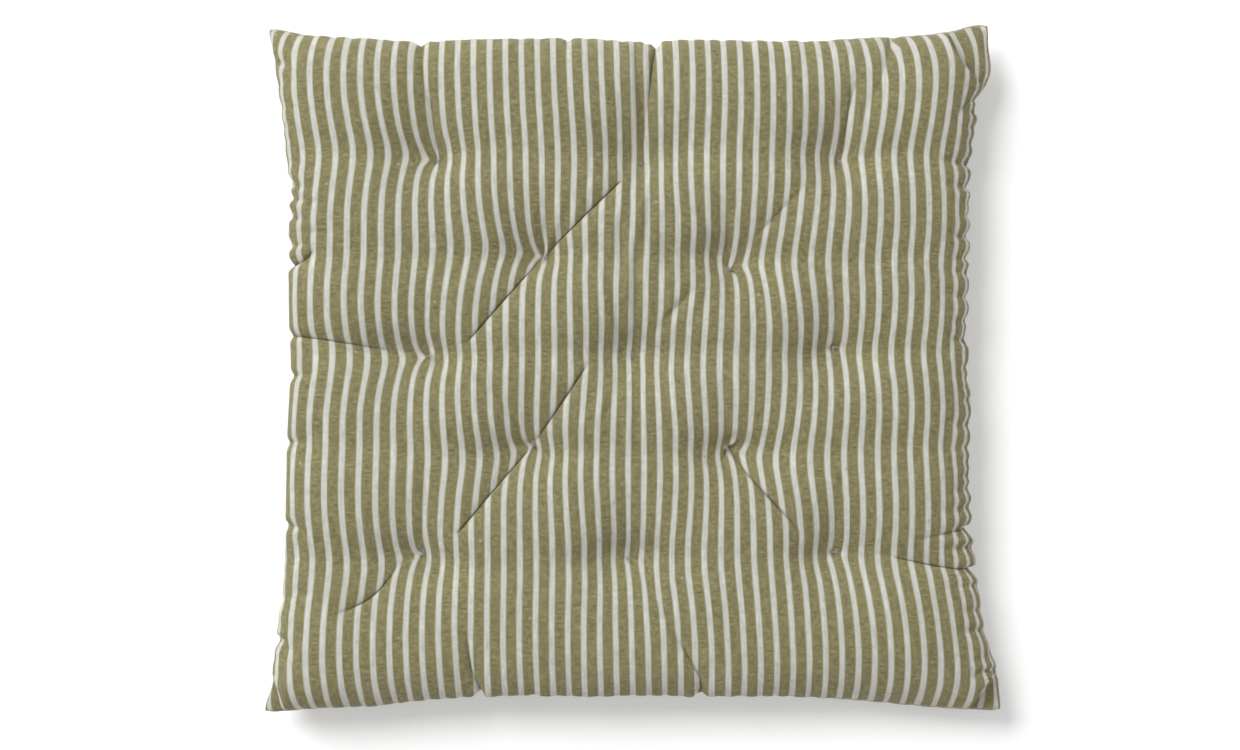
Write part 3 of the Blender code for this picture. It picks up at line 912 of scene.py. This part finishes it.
def panel_mesh(name, x, y, net, shape_up, only_at_seam, under):
    """A panel's shell around its settled net. shape_up moves the outer points, and under turns it over."""
    flat = np.stack([x.ravel(), y.ravel()], -1)
    folded, gap, hold = fold_in(net.reshape(-1, 3), seam_distance(flat), only_at_seam)
    folded = shape_up(folded, flat)
    grid = folded.reshape(net.shape)
    inner = grid[::LINING_STEP, ::LINING_STEP].copy()
    inner[..., 2] = np.maximum(lining_heights(grid[..., 2]), CLOTH_THICKNESS)
    inner = inner[1:-1, 1:-1].reshape(-1, 3)
    inner_flat = np.stack([x, y], -1)[::LINING_STEP, ::LINING_STEP][1:-1, 1:-1].reshape(-1, 2)

    index = np.arange(len(flat)).reshape(x.shape)
    quads = np.stack([index[:-1, :-1], index[:-1, 1:], index[1:, 1:], index[1:, :-1]], -1).reshape(-1, 4)
    mesh = bpy.data.meshes.new(name)
    places = np.concatenate([net.reshape(-1, 3), inner])
    mesh.from_pydata(places.tolist(), [], quads.tolist() + lining_faces(x.shape, len(flat)))
    corner = np.empty(len(mesh.loops), np.int32)
    mesh.loops.foreach_get("vertex_index", corner)
    layer = mesh.uv_layers.new(name="cut_cloth")
    layer.uv.foreach_set("vector", np.concatenate([flat, inner_flat])[corner].astype(np.float32).ravel())

    near = np.zeros(len(places), bool)
    near[: len(flat)] = (np.abs(gap) < FINE_REACH) & (hold > 0.25)
    cut_finer(mesh, near)
    flat_now = read_flat(mesh)
    places = np.empty(len(mesh.vertices) * 3, np.float32)
    mesh.vertices.foreach_get("co", places)
    places = places.reshape(-1, 3).astype(float)
    outer = np.ones(len(places), bool)
    outer[len(flat): len(flat) + len(inner)] = False
    gaps, holds = np.full(len(places), FAR_GAP), np.zeros(len(places))
    folded, gaps[outer], holds[outer] = fold_in(places[outer], seam_distance(flat_now[outer]), only_at_seam)
    places[outer] = shape_up(folded, flat_now[outer])
    if under:
        places[:, 2] *= -1
        mesh.flip_normals()
    places[:, 2] += SEAM_HEIGHT
    mesh.vertices.foreach_set("co", places.astype(np.float32).ravel())
    # crease_gap and crease_hold say where the material paints shade along the creases, and rim_gap where it
    # paints the highlight on the folded edge
    kept = {"crease_gap": gaps, "crease_hold": holds, "rim_gap": seam_distance(flat_now)}
    for attribute, values in kept.items():
        mesh.attributes.new(attribute, "FLOAT", "POINT").data.foreach_set("value", values.astype(np.float32))
    mesh.materials.append(COTTON)
    mesh.shade_smooth()
    mesh.update()
    print(f"{name}: {len(mesh.vertices)} points, {len(mesh.polygons)} faces")
    return mesh, grid


def keep_shape(places, flat):
    return places


top_mesh, top_grid = panel_mesh("cover_top", top_x, top_y, top_net, keep_shape, False, False)
cover_top = add_piece("cover_top", top_mesh, "striped_cotton", "top_panel")

# %% [markdown]
# ## The underside
# The under panel is cut and tufted like the upper one, but the pad's weight presses its quilts flat
# against whatever it lies on. So it is settled in the same way and its height is then limited, softly, to
# what lies between the seam and the ground. Along the gap that was sewn shut by hand it stands out a
# little past the upper panel.

# %% Settle the under panel
UNDER_SCALE = 0.95
UNDER_LIMIT = SEAM_HEIGHT - 0.0006
UNDER_HARDNESS = 7
CLOSING_LOW, CLOSING_HIGH = (np.array(corner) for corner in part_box("closing_thread"))
PEEK = 0.0016
PEEK_DROP = 0.0007
PEEK_REACH = 0.005


def press_flat(places, flat):
    """Limits the height and lets the edge peek out where the pad was closed by hand."""
    places = places.copy()
    height = places[:, 2]
    places[:, 2] = height / (1 + (height / UNDER_LIMIT) ** UNDER_HARDNESS) ** (1 / UNDER_HARDNESS)
    way = (places[:, 0] - CLOSING_LOW[0]) / (CLOSING_HIGH[0] - 0.03 - CLOSING_LOW[0])
    inside = np.sin(np.pi * np.clip(way, 0, 1)) ** 0.5
    peek = inside * np.exp(-(FLAT_DEPTH / 2 - flat[:, 1]) / PEEK_REACH)
    places[:, 1] += PEEK * peek
    places[:, 2] += PEEK_DROP * peek
    return places


under_x, under_y, under_net = settle_panel(UNDER_SCALE, LEVEL_STEPS[: 2])
under_mesh, under_grid = panel_mesh("cover_underside", under_x, under_y, under_net, press_flat, True, True)
cover_underside = add_piece("cover_underside", under_mesh, "striped_cotton", "bottom_panel")

# %% [markdown]
# ## The wadding
# Between the panels lie two layers of wadding. Nobody sees them while the cover is closed, but they are
# separate pieces, so each gets its own shape: it fills its half of the cover, stays a little inside the
# cloth, stops short of the seam, which the cloth overhangs in places, and is thin at the tufts. Polyester
# wadding is a mat of loose fibres, so its surface is uneven and its colour is a dull white.

# %% Wadding material
def wadding_material():
    mat = Nodes("wadding")
    place = mat.add("ShaderNodeTexCoord", output=3)
    stretched = mat.add("ShaderNodeMapping", {"Vector": place, "Scale": (260.0, 900.0, 600.0)})
    tangled = mat.noise(mat.add("ShaderNodeVectorMath", {0: stretched, 1: mat.noise(place, 40.0)}), 1.0, 5.0)
    tufts = mat.noise(place, 120.0, 4.0)
    colour = mat.mix(mat.span(tangled, 0.3, 0.7, 0.0, 1.0), (0.66, 0.65, 0.62), (0.84, 0.83, 0.80))
    colour = mat.tint(colour, mat.span(tufts, 0.3, 0.7, 0.92, 1.05))
    height = mat.math("ADD", mat.math("MULTIPLY", tangled, 0.6), tufts)
    normal = mat.bump(height, 0.0012, 0.9)
    roughness = mat.span(tufts, 0.3, 0.7, 0.88, 1.0)
    return mat.finish(colour, roughness, normal, Sheen_Weight=0.3, Specular_IOR_Level=0.2)


WADDING = wadding_material()

# %% Two layers of wadding
WADDING_GAP = 0.0010
WADDING_ROUGH = 0.0003
WADDING_FLOOR = 0.0003
WADDING_INSET = 0.0040  # how far it stops short of the cloth, which overhangs the seam in places
WADDING_INSET_POWER = 8
WADDING_SEED = 4


def finer_linear(values):
    """Adds a row and a column between each two, halfway."""
    for _ in range(2):
        out = np.empty((2 * len(values) - 1, *values.shape[1:]))
        out[::2], out[1::2] = values, (values[1:] + values[:-1]) / 2
        values = out.swapaxes(0, 1)
    return values


def wadding_mesh(name, grid, rng, under):
    """A closed layer under a panel's inner side, flat where it meets the other layer."""
    upper = grid[::LINING_STEP, ::LINING_STEP].copy()
    upper[..., 2] = lining_heights(grid[..., 2]) - WADDING_GAP
    upper = finer_linear(upper[1:-1, 1:-1])
    row_inset, column_inset = (
        WADDING_INSET * np.abs(np.linspace(-1, 1, count)) ** WADDING_INSET_POWER for count in upper.shape[:2]
    )
    upper[..., 0] -= np.sign(upper[..., 0]) * column_inset
    upper[..., 1] -= np.sign(upper[..., 1]) * row_inset[:, None]
    upper[..., 2] += rng.normal(0, WADDING_ROUGH, upper.shape[:2])
    upper[..., 2] = np.maximum(upper[..., 2], 3 * WADDING_FLOOR)
    lower = upper.copy()
    lower[..., 2] = WADDING_FLOOR
    rows, columns = upper.shape[:2]
    index = np.arange(rows * columns).reshape(rows, columns)
    quads = np.stack([index[:-1, :-1], index[:-1, 1:], index[1:, 1:], index[1:, :-1]], -1).reshape(-1, 4)
    ring = np.concatenate([index[0, :-1], index[:-1, -1], index[-1, :0:-1], index[:0:-1, 0]])
    after = np.roll(ring, -1)
    walls = np.stack([ring, ring + rows * columns, after + rows * columns, after], -1)
    faces = np.concatenate([quads, quads[:, ::-1] + rows * columns, walls])
    places = np.concatenate([upper.reshape(-1, 3), lower.reshape(-1, 3)])
    if under:
        places[:, 2] *= -1
        faces = faces[:, ::-1]
    places[:, 2] += SEAM_HEIGHT
    mesh = bpy.data.meshes.new(name)
    mesh.from_pydata(places.tolist(), [], faces.tolist())
    mesh.materials.append(WADDING)
    mesh.shade_smooth()
    print(f"{name}: {len(faces)} faces, {np.ptp(places[:, 2]) / MM:.1f} mm thick")
    return mesh


fluff = np.random.default_rng(WADDING_SEED)
for name, grid, under in (("upper_wadding", top_grid, False), ("lower_wadding", under_grid, True)):
    layer = "wadding_" + name.split("_")[0]
    add_piece(layer, wadding_mesh(layer, grid, fluff, under), "wadding", name)

# %% [markdown]
# ## Threads
# A thread is a few plies twisted together. From a hand's breadth away it is a thin round line, and close
# up the twist shows. Thin stitches here are round tubes whose bump draws the twist. The thick tufting
# thread is modelled ply by ply. One helper makes a tube round any path, and keeps how far along and how
# far round each point is.

# %% Tubes round a path
TUBE_SIDES = 6


class Threads:
    """Gathers tubes into one mesh."""

    def __init__(self):
        self.places, self.faces, self.uvs, self.count = [], [], [], 0

    def tube(self, path, radius):
        """A round tube along a path of points. Its ends are closed with a smaller ring and a cap."""
        path = np.asarray(path, float)
        along = np.gradient(path, axis=0)
        along /= np.linalg.norm(along, axis=1, keepdims=True)
        first, last = path[:1] - along[:1] * radius * 0.6, path[-1:] + along[-1:] * radius * 0.6
        path = np.concatenate([first, path, last])
        along = np.concatenate([along[:1], along, along[-1:]])
        radii = np.full(len(path), radius)
        radii[[0, -1]] *= 0.5
        side = np.cross(along[0], (0, 0, 1) if abs(along[0][2]) < 0.9 else (1, 0, 0))
        length = np.concatenate([[0], np.cumsum(np.linalg.norm(np.diff(path, axis=0), axis=1))])
        angles = np.arange(TUBE_SIDES) / TUBE_SIDES * math.tau
        for point, way, size in zip(path, along, radii):
            side = side - way * (side @ way)
            side /= np.linalg.norm(side)
            other = np.cross(way, side)
            ring = point + size * (np.cos(angles)[:, None] * side + np.sin(angles)[:, None] * other)
            self.places.extend(ring.tolist())
        for i in range(len(path) - 1):
            for j in range(TUBE_SIDES):
                a, b = self.count + i * TUBE_SIDES + j, self.count + i * TUBE_SIDES + (j + 1) % TUBE_SIDES
                self.faces.append((a, b, b + TUBE_SIDES, a + TUBE_SIDES))
                v, w = j / TUBE_SIDES, (j + 1) / TUBE_SIDES
                self.uvs.extend([(length[i], v), (length[i], w), (length[i + 1], w), (length[i + 1], v)])
        last = self.count + (len(path) - 1) * TUBE_SIDES
        self.faces.append(tuple(range(self.count + TUBE_SIDES - 1, self.count - 1, -1)))
        self.faces.append(tuple(range(last, last + TUBE_SIDES)))
        self.uvs.extend([(0.0, 0.0)] * TUBE_SIDES + [(length[-1], 0.0)] * TUBE_SIDES)
        self.count += len(path) * TUBE_SIDES

    def mesh(self, name, material):
        mesh = bpy.data.meshes.new(name)
        mesh.from_pydata(self.places, [], self.faces)
        layer = mesh.uv_layers.new(name="along_thread")
        layer.uv.foreach_set("vector", np.array(self.uvs, np.float32).ravel())
        mesh.materials.append(material)
        mesh.shade_smooth()
        print(f"{name}: {len(self.faces)} faces")
        return mesh


def thread_material(name, colour, dark, twist):
    """Twisted thread: slanting ridges along it, with painted shade in the grooves between them, and some
    fuzz.
    """
    mat = Nodes(name)
    parts = mat.add("ShaderNodeSeparateXYZ", {0: mat.add("ShaderNodeUVMap", uv_map="along_thread")}).node
    turns_along = mat.math("DIVIDE", parts.outputs[0], twist)
    turns = mat.math("ADD", turns_along, mat.math("MULTIPLY", parts.outputs[1], 2.0))
    ridge = mat.math("ABSOLUTE", mat.math("SINE", mat.math("MULTIPLY", turns, math.pi)))
    fuzz = mat.noise(mat.add("ShaderNodeTexCoord", output=3), 5200.0, 3.0)
    # painted shade: the colour goes dark in the grooves between the twisted ridges
    shade = mat.mix(ridge, dark, colour)
    shade = mat.tint(shade, mat.span(fuzz, 0.3, 0.7, 0.85, 1.12))
    height = mat.math("ADD", ridge, mat.math("MULTIPLY", fuzz, 0.5))
    roughness = mat.span(ridge, 0.0, 1.0, 0.9, 0.7)
    normal = mat.bump(height, 0.00008, 0.9)
    return mat.finish(shade, roughness, normal, Sheen_Weight=0.2, Specular_IOR_Level=0.3)


# %% [markdown]
# ## The sewn edge
# The two panels are sewn together inside out and then turned, so the seam is a plain edge with no piping.
# Only a fine line of beige thread shows between them. It is a row of short stitches that follows the edge
# point by point. The last stretch at the back was closed by hand, with slanting stitches that go over the
# edge.

# %% Machine stitches round the edge
STITCH_LENGTH = 0.0024
STITCH_GAP = 0.0005
STITCH_RADIUS = 0.00020
STITCH_INSET = 0.00005
BACK_EDGE = 0.9  # what lies further back than this share of the pad's half is the back edge
SEWING_THREAD = thread_material("sewing_thread", (0.40, 0.35, 0.22), (0.22, 0.19, 0.11), 0.0006)


def edge_ring(grid):
    """The folded edge of a panel, once round."""
    return np.concatenate([grid[0, :-1], grid[:-1, -1], grid[-1, :0:-1], grid[:0:-1, 0]])


def along_ring(ring, start, end, count):
    """Points of the edge between two distances along it."""
    closed = np.concatenate([ring, ring[:1]])
    length = np.concatenate([[0], np.cumsum(np.linalg.norm(np.diff(closed, axis=0), axis=1))])
    wanted = np.linspace(start, end, count)
    return np.stack([np.interp(wanted, length, closed[:, i]) for i in range(3)], -1), length[-1]


def edge_stitches():
    ring = edge_ring(top_grid)
    threads, start, stitches = Threads(), 0.0, 0
    total = along_ring(ring, 0, 0, 1)[1]
    while start + STITCH_LENGTH < total:
        path, _ = along_ring(ring, start, start + STITCH_LENGTH, 4)
        start += STITCH_LENGTH + STITCH_GAP
        middle = path.mean(0)
        at_back = middle[1] > HALF[1] * BACK_EDGE
        if at_back and CLOSING_LOW[0] < middle[0] < CLOSING_HIGH[0]:
            continue
        path[:, :2] -= path[:, :2] / np.linalg.norm(path[:, :2], axis=1, keepdims=True) * STITCH_INSET
        path[:, 2] = SEAM_HEIGHT
        threads.tube(path, STITCH_RADIUS)
        stitches += 1
    print(f"{stitches} stitches over {total / MM:.0f} mm of edge")
    return threads.mesh("seam_stitching", SEWING_THREAD)


add_piece("seam_stitching", edge_stitches(), "sewing_thread", "seam_thread")

# %% Stitches by hand at the back
HAND_PITCH = 0.0047
HAND_SLANT = 0.0012
HAND_RADIUS = 0.00024
HAND_SEED = 9


def hand_stitches():
    rng, threads = np.random.default_rng(HAND_SEED), Threads()
    edge = top_grid[-1]
    for x in np.arange(CLOSING_LOW[0] + 0.002, CLOSING_HIGH[0] - 0.001, HAND_PITCH):
        x = x + rng.uniform(-0.5, 0.5) * MM
        slant = HAND_SLANT * rng.uniform(0.7, 1.4)
        y = np.interp(x, edge[:, 0], edge[:, 1])
        out = PEEK + 0.0003
        path = np.array([
            (x, y - 0.0014, 0.0022),
            (x + slant * 0.2, y - 0.0004, 0.0014),
            (x + slant * 0.45, y + out * 0.6, 0.0004),
            (x + slant * 0.6, y + out, -0.0006),
            (x + slant * 0.8, y + out * 0.6, -0.0016),
            (x + slant, y - 0.0009, -0.0026),
        ])
        path[:, 2] += SEAM_HEIGHT
        threads.tube(path, HAND_RADIUS)
    return threads.mesh("closing_stitches", SEWING_THREAD)


add_piece("closing_stitches", hand_stitches(), "sewing_thread", "closing_thread")

# %% [markdown]
# ## The tufts
# A tuft is one stitch of thick thread through the whole pad, drawn tight and knotted. What shows is a
# short bar of thread at the bottom of each dimple, with cut ends. Each tie here is a loop of two plies
# through both panels, with two frayed ends on top. They are all tied by hand, so each one lies at its own
# angle.

# %% Tuft ties
TIE_SEED = 21
PLY_RADIUS = 0.00024
PLY_OFFSET = 0.00021
PLY_TURN = 0.0021
FRAY_RADIUS = 0.00009
TUFTING_THREAD = thread_material("tufting_thread", (0.40, 0.44, 0.43), (0.22, 0.245, 0.235), 0.0005)


def cloth_height(grid, place):
    """How far a panel stands off the seam plane at a place in plan."""
    away = np.hypot(grid[..., 0] - place[0], grid[..., 1] - place[1])
    return grid[..., 2][away < max(0.0015, away.min() * 1.01)].max()


def tie_loop(centre, way, half, top, bottom):
    """A closed stitch: over the top, down, under the bottom and up again."""
    corner = 0.3 * half
    flat = [
        (-half, top - corner), (-half + corner, top), (half - corner, top), (half, top - corner),
        (half, bottom + corner), (half - corner, bottom), (-half + corner, bottom), (-half, bottom + corner),
    ]
    flat = np.array(flat + flat[:1])
    path = np.stack([centre[0] + way[0] * flat[:, 0], centre[1] + way[1] * flat[:, 0], flat[:, 1]], -1)
    length = np.concatenate([[0], np.cumsum(np.linalg.norm(np.diff(path, axis=0), axis=1))])
    wanted = np.linspace(0, length[-1], 90)
    return np.stack([np.interp(wanted, length, path[:, i]) for i in range(3)], -1), wanted


def ply_paths(path, length):
    """Two plies that turn round a path."""
    along = np.gradient(path, axis=0)
    along /= np.linalg.norm(along, axis=1, keepdims=True)
    side = np.cross(along, (0.37, -0.61, 0.70))
    side /= np.linalg.norm(side, axis=1, keepdims=True)
    other = np.cross(along, side)
    for start in (0, math.pi):
        turn = (length / PLY_TURN * math.tau + start)[:, None]
        yield path + PLY_OFFSET * (np.cos(turn) * side + np.sin(turn) * other)


def tuft_tie(name, tuft, rng):
    threads = Threads()
    angle, half = rng.uniform(-0.9, 0.9), rng.uniform(0.7, 1.15) * MM
    way = np.array((math.cos(angle), math.sin(angle)))
    top = SEAM_HEIGHT + cloth_height(top_grid, tuft) + PLY_RADIUS
    bottom = SEAM_HEIGHT - cloth_height(under_grid, tuft) - PLY_RADIUS
    for ply in ply_paths(*tie_loop(tuft, way, half, top, bottom)):
        threads.tube(ply, PLY_RADIUS)
    for end in range(2):
        lean = angle + rng.uniform(0.5, 1.3) * (1 if end else -1) + (math.pi if rng.random() < 0.3 else 0)
        reach = rng.uniform(1.3, 2.6) * MM
        start = np.array((*(tuft + way * half * 0.7), top))
        for _ in range(5):
            spread = lean + rng.normal(0, 0.22)
            tip = start + (math.cos(spread) * reach, math.sin(spread) * reach, rng.uniform(0.4, 1.3) * MM)
            bend = (start + tip) / 2 + (0, 0, rng.uniform(0.2, 0.6) * MM)
            share = np.linspace(0, 1, 5)[:, None]
            path = (1 - share) ** 2 * start + 2 * share * (1 - share) * bend + share ** 2 * tip
            threads.tube(path, FRAY_RADIUS)
    return threads.mesh(name, TUFTING_THREAD)


tie_rng = np.random.default_rng(TIE_SEED)
for node, tuft in zip(TIE_NAMES, TUFTS):
    name = node.replace("tuft_thread", "tuft_tie")
    add_piece(name, tuft_tie(name, tuft, tie_rng), "tufting_thread", node)
